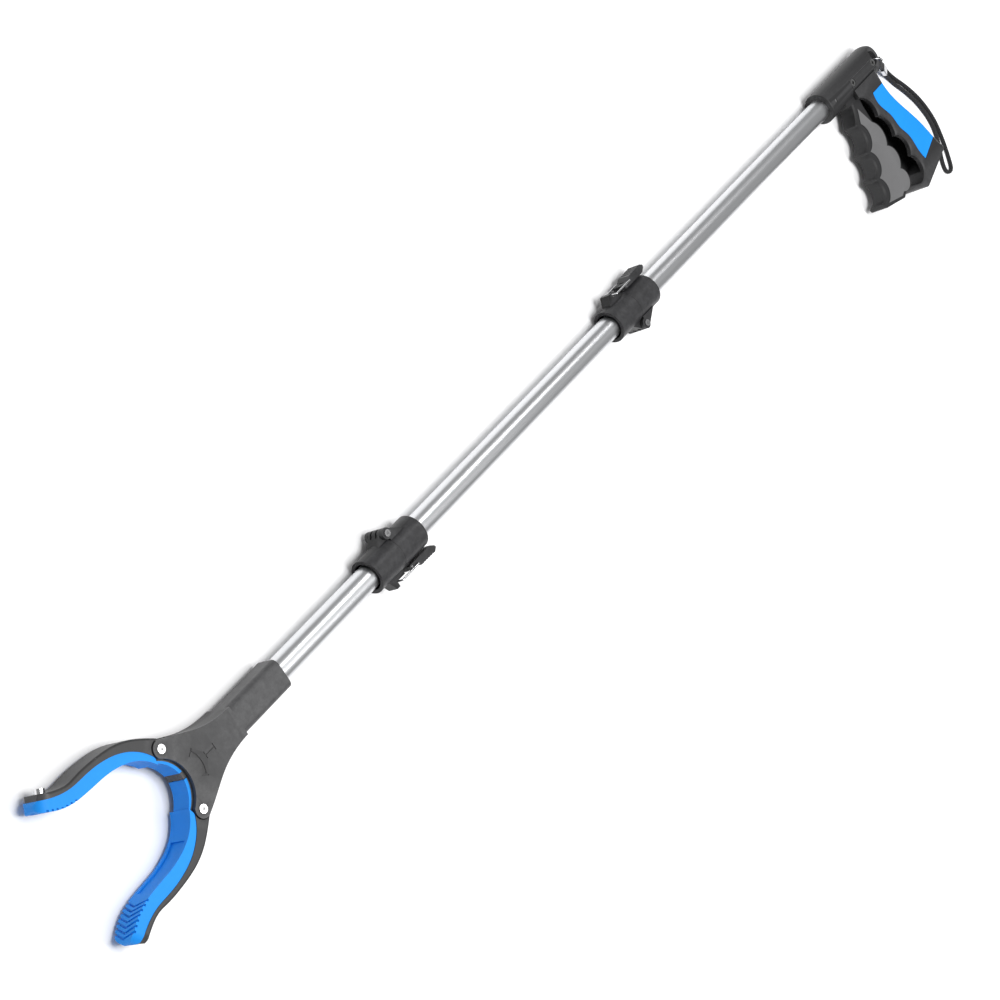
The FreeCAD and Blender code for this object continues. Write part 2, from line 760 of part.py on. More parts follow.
def lever_pin(node, along, turned_over):
    body = new_body(node)
    sketch = new_sketch(body, "XY_Plane", "-lever_half+0.3")
    draw_circle(sketch, "lever_pin", "-lever_back", "-lever_pivot")
    pad(body, sketch, "2*lever_half-0.6")
    keep(body, node, along, turned_over)


def hinge(number, station, turned_over):
    along = station + "-eye_back"
    name = "hinge%d_" % number
    rear_collar(name + "rear_collar", along, turned_over)
    front_collar(name + "front_collar", along, turned_over)
    hinge_screw(name + "screw", along, turned_over)
    latch_lever("latch%d_lever" % number, along, turned_over)
    latch_bail("latch%d_bail" % number, along, turned_over)
    lever_pin("latch%d_pin" % number, along, turned_over)


# ---------------------------------------------------------------- rounded wire paths


def corner_arc(before, corner, after, radius):
    """The tangent arc at a corner: its first point, its middle and its last."""
    back = (before - corner).normalize()
    ahead = (after - corner).normalize()
    half = back.getAngle(ahead) / 2
    reach = radius / math.tan(half)
    centre = corner + (back + ahead).normalize() * (radius / math.sin(half))
    middle = centre + (corner - centre).normalize() * radius
    return corner + back * reach, middle, corner + ahead * reach


def rounded_path(points, radius_at):
    edges = []
    last = points[0]
    for index in range(1, len(points) - 1):
        start, middle, end = corner_arc(*points[index - 1:index + 2], radius_at(index))
        edges.append(Part.LineSegment(last, start).toShape())
        edges.append(Part.Arc(start, middle, end).toShape())
        last = end
    edges.append(Part.LineSegment(last, points[-1]).toShape())
    return Part.Wire(edges)


def piped(points, radius, radius_at):
    path = rounded_path(points, radius_at)
    circle = Part.makeCircle(radius, points[0], points[1] - points[0])
    pipe = path.makePipeShell([Part.Wire(circle)], True, True)
    expected = math.pi * radius ** 2 * path.Length
    if abs(pipe.Volume - expected) > 0.01 * expected:
        raise ValueError("a tube's volume is not its section times its length")
    return pipe


# ---------------------------------------------------------------- neck and head


def neck_sleeve():
    body = new_body("neck_sleeve")
    sketch = new_sketch(body, "YZ_Plane", "sleeve_back")
    draw_polygon(sketch, [("-sleeve_half", "-sleeve_half"), ("sleeve_half", "-sleeve_half"),
                          ("sleeve_half", "sleeve_half"), ("-sleeve_half", "sleeve_half")])
    base = pad(body, sketch, "neck_seam-sleeve_back")
    DOC.recompute()
    sides = ["Edge%d" % (index + 1) for index, edge in enumerate(base.Shape.Edges)
             if edge.BoundBox.XLength > 1]
    rounding = body.newObject("PartDesign::Fillet", "neck_rounding")
    rounding.Base = (base, sides)
    rounding.setExpression("Radius", cell("sleeve_corner"))
    for radius, start, length in (("tube_radius+seat_gap", "sleeve_back-1", "tube_end-sleeve_back+1.5"),
                                  ("cable_hole", "sleeve_back", "neck_seam-sleeve_back+1"),
                                  ("tube_radius+1", "sleeve_back-1", "3.5")):
        bore = new_sketch(body, "YZ_Plane", start)
        draw_circle(bore, radius)
        feature = body.newObject("PartDesign::Pocket", "neck_bore")
        feature.Profile = bore
        feature.Reversed = True
        feature.setExpression("Length", cell(length))
    keep(body, "neck_sleeve")


def head_edges():
    seam = S.neck_seam
    pivot = S.jaw_station
    spread = S.jaw_spread
    flare = [(seam, S.sleeve_half), (seam + 14, S.sleeve_half + 1.1), (seam + 28, S.sleeve_half + 4.6),
             (seam + 43, S.sleeve_half + 11.4), (pivot - 3.2, spread + 5.31)]
    lug_front = (pivot + 4.6, spread - 4.157)
    around = [(pivot - 3.2, spread + 5.31), (pivot + 5.4, spread + 3.046), lug_front]
    mirror = lambda points: [(x, -y) for x, y in reversed(points)]
    edges = [spline(flare), arc(*around)]
    edges.append(arc(lug_front, (pivot - 6.4, 0.0), (lug_front[0], -lug_front[1])))
    edges += [arc(*mirror(around)), spline(mirror(flare))]
    edges.append(line((seam, -S.sleeve_half), (seam, S.sleeve_half)))
    return edges


def head_cavity():
    """Room between the head's two cheeks for the yoke, the tails and the turning jaws."""
    seam = S.neck_seam
    side = [(seam + 13, 7.0), (seam + 28, 11.0), (seam + 41, 17.0), (seam + 42, 45.0), (seam + 85, 45.0)]
    other = [(x, -y) for x, y in reversed(side)]
    return both_ways(polyline(side + other + [side[0]]), S.cheek_inner)


def head_marks():
    """Two engraved signs: an arc with end bars, and a straight bar with end bars."""
    low = S.head_half - S.mark_depth
    width = S.mark_width
    centre = (S.jaw_station - 2.0, 0.0)
    arc_radius = 17.0
    ring = post(centre, arc_radius + width, low, S.head_half + 1)
    ring = ring.cut(post(centre, arc_radius, low - 1, S.head_half + 2))
    sector = bar(centre[0] - 30, centre[0] - 12, -9, 9, low - 1, S.head_half + 2)
    marks = [ring.common(sector)]
    for side in (-1, 1):
        tick = bar(centre[0] - arc_radius - 2.6, centre[0] - arc_radius + 3.4, 0, width, low,
                   S.head_half + 1)
        marks.append(turned(tick, centre, side * 33))
    stem = S.jaw_station - 34.0
    marks.append(bar(stem, stem + 9, -width / 2, width / 2, low, S.head_half + 1))
    for station in (stem, stem + 9):
        marks.append(bar(station, station + width, -2.6, 2.6, low, S.head_half + 1))
    return marks


def head_halves():
    head = both_ways(head_edges(), S.head_half)
    neck = S.jaw_station - 20
    channel = Part.makeCylinder(S.cable_hole, neck - S.neck_seam + 1, V(S.neck_seam - 1, 0, 0), V(1, 0, 0))
    cuts = [head_cavity(), channel]
    for side in (-1, 1):
        point = (S.jaw_station, side * S.jaw_spread)
        cuts.append(post(point, S.jaw_screw + S.seat_gap, -S.head_half - 1, S.head_half + 1))
        seat = S.head_half - S.jaw_screw_sunk
        cuts.append(post(point, S.jaw_screw_head + 0.15, seat, S.head_half + 1))
        cuts.append(post(point, S.jaw_screw_head + 0.15, -S.head_half - 1, -seat))
    marks = head_marks()
    for mark in marks[:]:
        marks.append(mark.mirror(V(), V(0, 0, 1)))
    head = head.cut(cuts + marks)
    keep_shape(head.common(bar(S.neck_seam - 1, 1200, -60, 60, 0, 30)), "head_upper")
    keep_shape(head.common(bar(S.neck_seam - 1, 1200, -60, 60, -30, 0)), "head_lower")


def jaw_screw(node, side):
    """A jaw's pivot: a shank between two polished heads sunk in the head's cheeks."""
    station = ("jaw_station", side + "jaw_spread")
    face = "head_half-jaw_screw_sunk"
    depth = "jaw_screw_sunk+jaw_screw_proud"
    shank = rod(node + "_shank", "jaw_screw", "2*(%s)" % face, station + ("-(%s)" % face,))
    top = rod(node + "_top", "jaw_screw_head", depth, station + (face,))
    under = rod(node + "_under", "jaw_screw_head", depth, station + ("-(%s)-(%s)" % (face, depth),))
    socket = primitive("Prism", node + "_socket", {"Circumradius": "socket_radius", "Height": "2"},
                       station + (face + "+0.4",))
    keep(cut(node, fuse(node + "_solid", [shank, top, under]), [socket]), node)


# ---------------------------------------------------------------- jaws
# An arm's outlines are (towards the centre, forward) from its pivot, with the jaw closed.

ARM_OUTER = [(-7.3, 1.0), (-8.4, 9.0), (-9.2, 20.0), (-8.2, 31.0), (-3.7, 45.2), (0.9, 55.3),
             (6.4, 65.3), (11.0, 73.1), (13.2, 82.0), (14.0, 93.7)]
ARM_SEAM = [(4.6, 4.8), (0.4, 13.0), (-1.8, 25.0), (-1.0, 35.9), (1.7, 45.9), (5.6, 55.3), (10.2, 63.8),
            (14.1, 71.6), (16.8, 81.0), (18.0, 94.6)]
ARM_INNER = [(9.4, 3.4), (5.6, 12.6), (4.7, 22.5), (6.4, 32.7), (10.2, 43.6), (14.9, 52.9), (19.6, 62.2),
             (23.0, 70.0), (25.2, 78.5), (25.4, 91.7)]
ARM_TIP = (22.3, 96.8)


class Jaw:
    """The lower jaw is on the +Y side and the upper one on the -Y side; side is +1 or -1."""

    def __init__(self, side):
        self.side = side
        self.pivot = (S.jaw_station, side * S.jaw_spread)

    def spot(self, point):
        return (S.jaw_station + point[1], self.side * (S.jaw_spread - point[0]))

    def spots(self, points):
        return [self.spot(point) for point in points]

    def opened(self, shape):
        return turned(shape, self.pivot, self.side * S.jaw_open)

    def across(self, points):
        return [(x, self.side * y) for x, y in points]


def arm_frame(jaw):
    outer = spline(jaw.spots(ARM_OUTER))
    seam = spline(jaw.spots(list(reversed(ARM_SEAM))))
    tip = line(jaw.spot(ARM_OUTER[-1]), jaw.spot(ARM_SEAM[-1]))
    root = line(jaw.spot(ARM_SEAM[0]), jaw.spot(ARM_OUTER[0]))
    arm = both_ways([outer, tip, seam, root], S.jaw_half)
    edges = long_edges(arm, S.jaw_half, lambda p: on_curve(p, outer))
    return arm.makeFillet(1.6, edges)


def round_tip(arm, half):
    """The arm with its end made round, as seen from inside the mouth."""
    end = arm.BoundBox.XMax
    envelope = bar(S.jaw_station - 20, end, -100, 100, -half, half)
    corners = [edge for edge in envelope.Edges
               if edge.BoundBox.XMin > end - 0.1 and edge.BoundBox.YLength > 100]
    return arm.common(envelope.makeFillet(S.tip_round, corners))


def on_curve(point, edge):
    flat = Part.Vertex(V(point.x, point.y, 0))
    return flat.distToShape(edge)[0] < 0.05


def arm_pad(jaw):
    seam = spline(jaw.spots(ARM_SEAM))
    inner = spline(jaw.spots(list(reversed(ARM_INNER))))
    nose = arc(jaw.spot(ARM_SEAM[-1]), jaw.spot(ARM_TIP), jaw.spot(ARM_INNER[-1]))
    root = line(jaw.spot(ARM_INNER[0]), jaw.spot(ARM_SEAM[0]))
    cushion = both_ways([seam, nose, inner, root], S.pad_half)
    floor = [(dx - S.pad_floor_depth, dy) for dx, dy in ARM_INNER[2:7]]
    above = [(dx + 8.0, dy) for dx, dy in ARM_INNER[2:7]]
    tray_edges = [spline(jaw.spots(floor)), line(jaw.spot(floor[-1]), jaw.spot(above[-1]))]
    tray_edges.append(spline(jaw.spots(list(reversed(above)))))
    tray_edges.append(line(jaw.spot(above[0]), jaw.spot(floor[0])))
    tray = both_ways(tray_edges, S.pad_floor_half)
    return cushion.cut([tray] + chevrons(jaw))


def chevrons(jaw):
    """V grooves across the gripping end of a pad."""
    grooves = []
    count = 7
    for index in range(count):
        start = 67.5 + index * S.chevron_step
        depth = 25.6 if start > 76 else 22.6 + 0.3 * (start - 67.5)
        low = S.jaw_spread - depth + S.chevron_depth
        height = S.pad_half + 1
        outline = [(start, -height), (start + S.chevron_rise, 0), (start, height),
                   (start + S.chevron_width, height), (start + S.chevron_width + S.chevron_rise, 0),
                   (start + S.chevron_width, -height)]
        points = [V(S.jaw_station + x, jaw.side * low, z) for x, z in outline]
        face = Part.Face(Part.makePolygon(points + [points[0]]))
        grooves.append(face.extrude(V(0, -jaw.side * 12.0, 0)))
    return grooves


def palm_front(setback=0.0):
    """The arc that both tails' fronts lie on when the jaws are open."""
    return [(S.jaw_station + 8.2 - setback, 19.5), (S.jaw_station - 0.9 - setback, 9.2),
            (S.jaw_station - 3.0 - setback, S.tail_gap)]


def tail_edges(jaw, setback, depth):
    front = palm_front(setback)
    back = palm_front(setback + depth)
    front_arc = arc(*jaw.across(front))
    back_arc = arc(*jaw.across(list(reversed(back))))
    end = line(*jaw.across([front[-1], back[-1]]))
    root = line(*jaw.across([back[0], front[0]]))
    return [front_arc, end, back_arc, root]


def jaw_cushion(jaw):
    lining = both_ways(tail_edges(jaw, 0.0, S.lining), S.tail_half)
    return jaw.opened(round_tip(arm_pad(jaw), S.pad_half)).fuse(lining)


def tail_fingers(jaw):
    """Black teeth that reach across the middle between the other tail's teeth."""
    step = S.tail_half / 2
    fingers = []
    for index in range(4):
        if (index % 2 == 0) == (jaw.side > 0):
            low = -S.tail_half + index * step + 0.1
            front = S.jaw_station - 3.4
            y_low, y_high = sorted((jaw.side * (S.tail_gap + 2.5), -jaw.side * (S.tail_gap - 0.4)))
            fingers.append(bar(front - S.finger_depth, front, y_low, y_high, low, low + step - 0.2))
    return fingers


def yoke_slot(jaw):
    """The path of the yoke's pin across a tail as the jaw closes, widened to the pin and its gap."""
    points = []
    for share in (0.0, 0.5, 1.0):
        station = S.jaw_station - S.yoke_pin_back - share * S.yoke_travel
        pin = Part.Vertex(V(station, jaw.side * S.yoke_pin_spread, 0))
        points.append(turned(pin, jaw.pivot, jaw.side * share * S.jaw_swing).Point)
    path = Part.Wire([Part.Arc(*points).toShape()])
    outline = path.makeOffset2D(S.yoke_pin + S.yoke_slot_gap, 0, False, False)
    face = Part.Face(outline)
    face.translate(V(0, 0, -S.tail_half - 1))
    return face.extrude(V(0, 0, 2 * S.tail_half + 2))


def jaw_frame(jaw, cushion):
    arm = jaw.opened(round_tip(arm_frame(jaw), S.jaw_half))
    hub = post(jaw.pivot, S.jaw_hub, -S.tail_half, S.tail_half)
    bridge = both_ways(polyline(jaw.across([
        (S.jaw_station - 1.0, 19.0), (S.jaw_station + 5.5, 20.5), (S.jaw_station + 10.5, 29.5),
        (S.jaw_station + 9.0, 33.5), (S.jaw_station + 1.0, 29.5),
        (S.jaw_station - 1.0, 19.0)])), S.tail_half)
    tail = both_ways(tail_edges(jaw, 0.4, S.lining + S.cheek_depth), S.tail_half)
    middle = S.yoke_half + 0.4
    clear = bar(S.jaw_station - 22, S.jaw_station + 3.5 - S.lining, -19.0, 19.0, -middle, middle)
    tail = tail.cut(clear).multiFuse(tail_fingers(jaw)).cut(yoke_slot(jaw))
    frame = arm.multiFuse([hub, bridge, tail])
    reliefs = []
    for low, high in ((S.tail_half, S.head_half + 1), (-S.head_half - 1, -S.tail_half)):
        reliefs.append(post(jaw.pivot, S.hub_relief, low, high))
    bore = post(jaw.pivot, S.jaw_screw + S.run_gap, -S.head_half, S.head_half)
    return frame.cut(reliefs + [bore, magnet_post(jaw, 0.05, 0.0), cushion])


def magnet_post(jaw, gap, proud):
    """The magnet's disc, standing on the arm's outer face near the tip."""
    base = jaw.spot((13.3, 87.0))
    outward = V(-0.07, jaw.side * 1.0, 0).normalize()
    start = V(base[0], base[1], 0) - outward * S.magnet_seat
    disc = Part.makeCylinder(S.magnet_radius + gap, S.magnet_seat + proud + 4 * gap, start, outward)
    return jaw.opened(disc)


def jaw_set(name, side):
    jaw = Jaw(side)
    cushion = jaw_cushion(jaw)
    reliefs = []
    for low, high in ((S.tail_half, S.head_half + 1), (-S.head_half - 1, -S.tail_half)):
        reliefs.append(post(jaw.pivot, S.hub_relief, low, high))
    cushion = cushion.cut(reliefs)
    keep_shape(cushion, "jaw_pad_" + name)
    keep_shape(jaw_frame(jaw, cushion), "jaw_" + name)
    keep_shape(magnet_post(jaw, 0.0, S.magnet_proud), "jaw_magnet_" + name)


def pull_yoke():
    """The slider that the cable pulls: a spine, and an arm each way between the jaws' teeth."""
    back = S.jaw_station - 39.0
    pin_x = S.jaw_station - S.yoke_pin_back
    spread = S.yoke_pin_spread
    spine = bar(back, S.jaw_station - 24.0, -2.6, 2.6, -S.yoke_half, S.yoke_half)
    outline = [(back, 0.0), (back, 2.6), (S.jaw_station - 24.0, 4.0), (pin_x - 3.5, spread + 1.8),
               (pin_x + 1.0, spread + 2.4), (pin_x + 1.6, spread - 1.2), (S.jaw_station - 14.0, 4.0),
               (S.jaw_station - 22.0, 0.0), (back, 0.0)]
    pieces = [spine]
    for side in (-1, 1):
        low, high = sorted((-side * S.yoke_half, -side * S.yoke_layer_gap))
        arm = both_ways(polyline([(x, side * y) for x, y in outline]), S.yoke_half)
        pieces.append(arm.common(bar(back, S.jaw_station, -spread - 3, spread + 3, low, high)))
        pieces.append(post((pin_x, side * spread), S.yoke_pin, -S.tail_half + 0.4, S.tail_half - 0.4))
    bore = Part.makeCylinder(S.cable_radius + S.seat_gap, 12, V(back - 1, 0, 0), V(1, 0, 0))
    keep_shape(pieces[0].multiFuse(pieces[1:]).cut(bore), "pull_yoke")


# ---------------------------------------------------------------- lanyard

RING_LEAN = (-0.839, 0.544)       # from the eye to the split ring's centre
RING_REACH = 9.2
STRAP_LEAN = V(-0.622, 0.660, -0.422)
CORD_ROUTE = [(-25.8, 33.6), (-35.6, 48.0), (-44.0, 66.0), (-47.5, 88.0), (-43.5, 108.0),
              (-38.1, 124.0), (-33.1, 134.4), (-24.1, 131.6), (-26.9, 120.8), (-37.0, 105.6),
              (-42.0, 88.4), (-38.9, 68.8), (-31.2, 51.2), (-22.3, 37.6)]


def split_ring():
    centre = V(S.eye_back + RING_REACH * RING_LEAN[0], RING_REACH * RING_LEAN[1], 0)
    normal = V(-RING_LEAN[1], RING_LEAN[0], 0)
    keep_shape(Part.makeTorus(S.ring_radius, S.ring_wire, centre, normal), "split_ring")


def strap_frame():
    """Where the strap starts on the ring, which way it leads, and the way across it."""
    far = RING_REACH + S.ring_radius - 1.2
    start = V(S.eye_back + far * RING_LEAN[0], far * RING_LEAN[1], 0)
    ahead = V(STRAP_LEAN).normalize()
    across = V(-ahead.y, ahead.x, 0).normalize()
    return start, ahead, across


def strap_block(start, ahead, across, length, width_start, width_end, thick):
    up = ahead.cross(across).normalize()
    corners = []
    for reach, width in ((0.0, width_start), (length, width_end)):
        for side in (-1, 1):
            corners.append(start + ahead * reach + across * (side * width / 2))
    order = [corners[0], corners[1], corners[3], corners[2]]
    face = Part.Face(Part.makePolygon(order + [order[0]]))
    face.translate(up * (-thick / 2))
    return face.extrude(up * thick)


def lanyard_fittings():
    start, ahead, across = strap_frame()
    tab = strap_block(start, ahead, across, S.tab_length, 9.5, 5.6, S.tab_thick)
    tab = tab.makeFillet(0.8, [edge for edge in tab.Edges if edge.Length > 9])
    channel = Part.makeTorus(S.ring_radius, S.ring_wire + 0.15, V(), V(0, 0, 1))
    lean = FreeCAD.Rotation(V(0, 0, 1), V(-RING_LEAN[1], RING_LEAN[0], 0))
    centre = V(S.eye_back + RING_REACH * RING_LEAN[0], RING_REACH * RING_LEAN[1], 0)
    channel.Placement = FreeCAD.Placement(centre, lean)
    keep_shape(tab.cut(channel), "lanyard_tab")
    crimp_start = start + ahead * S.tab_length
    crimp = strap_block(crimp_start, ahead, across, S.crimp_length,
                        S.crimp_width, S.crimp_width, S.crimp_thick)
    crimp = crimp.makeFillet(1.2, [edge for edge in crimp.Edges if edge.Length > 8.9
                                   and abs(edge.tangentAt(0).dot(ahead)) > 0.9])
    keep_shape(crimp, "lanyard_crimp")
    return crimp_start + ahead * S.crimp_length, ahead, across


def lanyard_cord(exit_point, ahead, across):
    """One cord out of the crimp, round its end loop and back, lying on the floor."""
    height = -S.floor_drop + S.cord_radius + 0.05
    first = exit_point + across * 2.3
    last = exit_point - across * 2.3
    points = [first, first + ahead * 7.0] + [V(x, y, height) for x, y in CORD_ROUTE]
    points += [last + ahead * 7.0, last]
    radii = cord_radii(points)
    print("lanyard cord, mm: length %.1f, tightest arc %.1f" % (rounded_path(points, radii.get).Length,
                                                                min(radii.values())))
    keep_shape(piped(points, S.cord_radius, radii.get), "lanyard_cord")


def cord_radii(points):
    """The largest arc that each corner's two runs allow."""
    radii = {}
    for index in range(1, len(points) - 1):
        before, corner, after = points[index - 1:index + 2]
        turn = math.pi - (before - corner).getAngle(after - corner)
        shorter = min((before - corner).Length, (after - corner).Length)
        radii[index] = 0.45 * shorter / math.tan(turn / 2)
    return radii


# ---------------------------------------------------------------- the whole tool


def build():
    handle()
    trigger()
    trigger_spring()
    pin_screw("trigger_pivot_screw", "trigger_station", "screw_radius")
    pin_screw("barrel_screw", "rear_screw", "screw_radius")
    tube_pin()
    rear_tube()
    tube("middle_tube", "hinge_one+0.5", "hinge_two-0.5")
    tube("front_tube", "hinge_two+0.5", "tube_end")
    cable("pull_cable_rear", "tube_pin_station+tube_pin_radius+1", "hinge_one-0.6")
    cable("pull_cable_middle", "hinge_one+0.6", "hinge_two-0.6")
    cable("pull_cable_front", "hinge_two+yoke_travel+3", "jaw_station-30")
    hinge(1, "hinge_one", False)
    hinge(2, "hinge_two", True)
    neck_sleeve()
    head_halves()
    jaw_screw("jaw_pivot_lower", "")
    jaw_screw("jaw_pivot_upper", "-")
    jaw_set("lower", 1)
    jaw_set("upper", -1)
    pull_yoke()
    split_ring()
    lanyard_cord(*lanyard_fittings())


def check():
    DOC.recompute()
    for item in DOC.Objects:
        if "Invalid" in item.State or "Error" in item.State:
            raise ValueError("%s failed: %s" % (item.Name, item.State))
    for item in NODES:
        if item.Shape.isNull() or not item.Shape.isValid() or not item.Shape.Solids:
            raise ValueError("%s has no valid solid" % item.Label)


def write():
    os.makedirs("parts", exist_ok=True)
    for item in NODES:
        item.Shape.exportStep("parts/%s.step" % item.Label)
        box = item.Shape.BoundBox
        print("%-22s solids %d volume %9.1f  x %7.1f %7.1f  y %6.1f %6.1f  z %6.1f %6.1f" % (
            item.Label, len(item.Shape.Solids), item.Shape.Volume,
            box.XMin, box.XMax, box.YMin, box.YMax, box.ZMin, box.ZMax))


build()
check()
write()
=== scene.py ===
"""A folding reacher grabber: finishes for its CAD pieces, its woven lanyard, and a plain studio."""
import math

import bpy
from mathutils import Matrix, Vector


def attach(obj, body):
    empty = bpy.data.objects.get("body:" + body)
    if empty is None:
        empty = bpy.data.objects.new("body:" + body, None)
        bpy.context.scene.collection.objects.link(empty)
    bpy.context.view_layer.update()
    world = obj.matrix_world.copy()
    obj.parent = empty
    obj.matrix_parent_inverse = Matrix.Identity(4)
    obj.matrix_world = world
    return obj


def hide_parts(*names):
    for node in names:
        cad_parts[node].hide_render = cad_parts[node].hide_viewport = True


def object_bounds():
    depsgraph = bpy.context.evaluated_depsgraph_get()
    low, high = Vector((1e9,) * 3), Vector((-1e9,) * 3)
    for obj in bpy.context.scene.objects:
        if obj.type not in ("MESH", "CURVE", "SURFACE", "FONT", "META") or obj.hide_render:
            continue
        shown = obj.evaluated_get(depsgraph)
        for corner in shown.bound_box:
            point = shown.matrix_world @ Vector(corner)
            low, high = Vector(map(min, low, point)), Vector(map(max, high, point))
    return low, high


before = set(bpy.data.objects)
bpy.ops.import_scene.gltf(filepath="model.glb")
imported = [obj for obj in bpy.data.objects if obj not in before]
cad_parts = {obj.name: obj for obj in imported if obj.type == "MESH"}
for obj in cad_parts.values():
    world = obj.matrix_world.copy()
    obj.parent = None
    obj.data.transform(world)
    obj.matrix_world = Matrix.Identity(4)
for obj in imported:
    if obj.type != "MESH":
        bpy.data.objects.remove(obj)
CAD_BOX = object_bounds()

bl_info = {
    "name": "Reacher grabber",
    "version": (1, 0, 0),
    "blender": (4, 5, 0),
    "location": "View3D > Sidebar > Reacher",
    "description": "Finishes, lanyard and studio of a folding reacher grabber",
    "category": "Object",
}

MM = 0.001
# control points of the lanyard cord, in millimetres from the lanyard eye
CORD_POINTS = [
    (-27.7, 20.7, -8.9), (-32.1, 25.3, -11.8), (-36.3, 33.6, -12.0), (-46.1, 48.0, -12.0),
    (-54.5, 66.0, -12.0), (-58.0, 88.0, -12.0), (-54.0, 108.0, -12.0), (-48.6, 124.0, -12.0),
    (-43.6, 134.4, -12.0), (-34.6, 131.6, -12.0), (-37.4, 120.8, -12.0), (-47.5, 105.6, -12.0),
    (-52.5, 88.4, -12.0), (-49.4, 68.8, -12.0), (-41.7, 51.2, -12.0), (-32.8, 37.6, -12.0),
    (-28.7, 28.5, -11.8), (-24.4, 23.9, -8.9),
]
LENS = 101.846
LENS_SHIFT = (0.00996, -0.03254)
SENSOR = 36.0
ROOM_LIGHT = 0.30
FLOOR_COLOUR = (0.93, 0.93, 0.935, 1.0)
TOOL_MIDDLE = Vector((0.5, 0.0, 0.0))
# name, place, side of the square lamp, power
LIGHTS = (
    ("key", (0.8, -0.1, 2.8), 1.3, 66.0),
    ("fill", (0.1, 0.9, 2.2), 1.0, 20.0),
    ("rim", (-0.6, -0.9, 1.6), 0.5, 7.0),
)
SMOOTH_ANGLE = math.radians(32)
PANEL_LEVEL = 8.0 * MM
SHELLS = ("handle_shell_upper", "handle_shell_lower")
COLLARS = ("hinge1_rear_collar", "hinge1_front_collar", "hinge2_rear_collar", "hinge2_front_collar",
           "latch1_lever", "latch2_lever")
HEAD = ("neck_sleeve", "head_upper", "head_lower", "jaw_lower", "jaw_upper")
SOFT = ("grip_pad", "jaw_pad_lower", "jaw_pad_upper")
TUBES = ("rear_tube", "middle_tube", "front_tube")
FITTINGS = ("tube_pin", "hinge1_screw", "hinge2_screw", "latch1_bail", "latch2_bail", "latch1_pin",
            "latch2_pin", "split_ring", "lanyard_crimp", "trigger_spring", "pull_yoke",
            "pull_cable_rear", "pull_cable_middle", "pull_cable_front")
PIVOTS = ("jaw_pivot_lower", "jaw_pivot_upper")
MAGNETS = ("jaw_magnet_lower", "jaw_magnet_upper")
BARREL_SCREWS = ("trigger_pivot_screw", "barrel_screw")
CAMERA_PLACE = (1.93912, -0.52932, 1.45502)
CAMERA_TURN = (
    (-0.527806, -0.550549, 0.646774),
    (0.521785, -0.811020, -0.264552),
    (0.670195, 0.197845, 0.715329),
)


def shade(name, text, value):
    return bpy.props.FloatVectorProperty(name=name, description=text, subtype="COLOR", size=3,
                                         min=0.0, max=1.0, default=value)


class ReacherColours(bpy.types.PropertyGroup):
    shell: shade("Shell", "Moulded handle and head", (0.020, 0.020, 0.021))
    trigger_face: shade("Trigger", "Raised panel of the trigger", (0.125, 0.125, 0.127))
    collar: shade("Collar", "Hinge collars and levers", (0.006, 0.006, 0.0065))
    head: shade("Head", "Head, neck and jaw frames", (0.026, 0.026, 0.027))
    soft: shade("Soft parts", "Grip inlay and jaw pads", (0.006, 0.25, 0.80))
    tube: shade("Tubes", "Anodised tubes", (0.70, 0.71, 0.725))
    steel: shade("Steel", "Screws, bails and ring", (0.62, 0.62, 0.63))
    cord: shade("Cord", "Woven lanyard", (0.008, 0.008, 0.009))


class ReacherSizes(bpy.types.PropertyGroup):
    cord_diameter: bpy.props.FloatProperty(name="Cord diameter", description="Thickness of the lanyard cord",
                                           default=3.4 * MM, min=0.001, max=0.01, unit="LENGTH")
    floor_gap: bpy.props.FloatProperty(name="Floor gap", description="Space under the tool",
                                       default=0.05 * MM, min=0.0, max=0.01, unit="LENGTH")
    floor_size: bpy.props.FloatProperty(name="Floor size", description="Side of the floor",
                                        default=60.0, min=1.0, max=200.0, unit="LENGTH")


# ---------------------------------------------------------------- shader groups


PATTERN_OUTPUTS = [("Color", "NodeSocketColor"), ("Roughness", "NodeSocketFloat"),
                   ("Height", "NodeSocketFloat")]


class Group:
    """Builds one shader node group: its sockets, its nodes and their links."""

    def __init__(self, name, inputs, outputs):
        self.tree = bpy.data.node_groups.new(name, "ShaderNodeTree")
        for label, kind, value in inputs:
            socket = self.tree.interface.new_socket(label, in_out="INPUT", socket_type=kind)
            if value is not None:
                socket.default_value = value
        for label, kind in outputs:
            self.tree.interface.new_socket(label, in_out="OUTPUT", socket_type=kind)
        self.entry = self.node("NodeGroupInput").outputs
        self.exit = self.node("NodeGroupOutput").inputs

    def node(self, kind, **settings):
        made = self.tree.nodes.new(kind if kind.startswith("NodeGroup") else "ShaderNode" + kind)
        for key, value in settings.items():
            setattr(made, key, value)
        return made

    def link(self, source, target):
        self.tree.links.new(source, target)

    def maths(self, operation, first, second, clamp=False):
        made = self.node("Math", operation=operation, use_clamp=clamp)
        for index, value in enumerate((first, second)):
            if isinstance(value, (int, float)):
                made.inputs[index].default_value = value
            else:
                self.link(value, made.inputs[index])
        return made.outputs[0]

    def noise(self, place, scale, detail=3.0, rough=0.55):
        made = self.node("TexNoise")
        self.link(place, made.inputs["Vector"])
        if isinstance(scale, (int, float)):
            made.inputs["Scale"].default_value = scale
        else:
            self.link(scale, made.inputs["Scale"])
        made.inputs["Detail"].default_value = detail
        made.inputs["Roughness"].default_value = rough
        return made.outputs["Fac"]

    def blend(self, amount, first, second, mode="MIX"):
        made = self.node("Mix", data_type="RGBA", blend_type=mode)
        self.link(amount, made.inputs[0])
        for index, value in ((6, first), (7, second)):
            if isinstance(value, tuple):
                made.inputs[index].default_value = value
            else:
                self.link(value, made.inputs[index])
        return made.outputs[2]


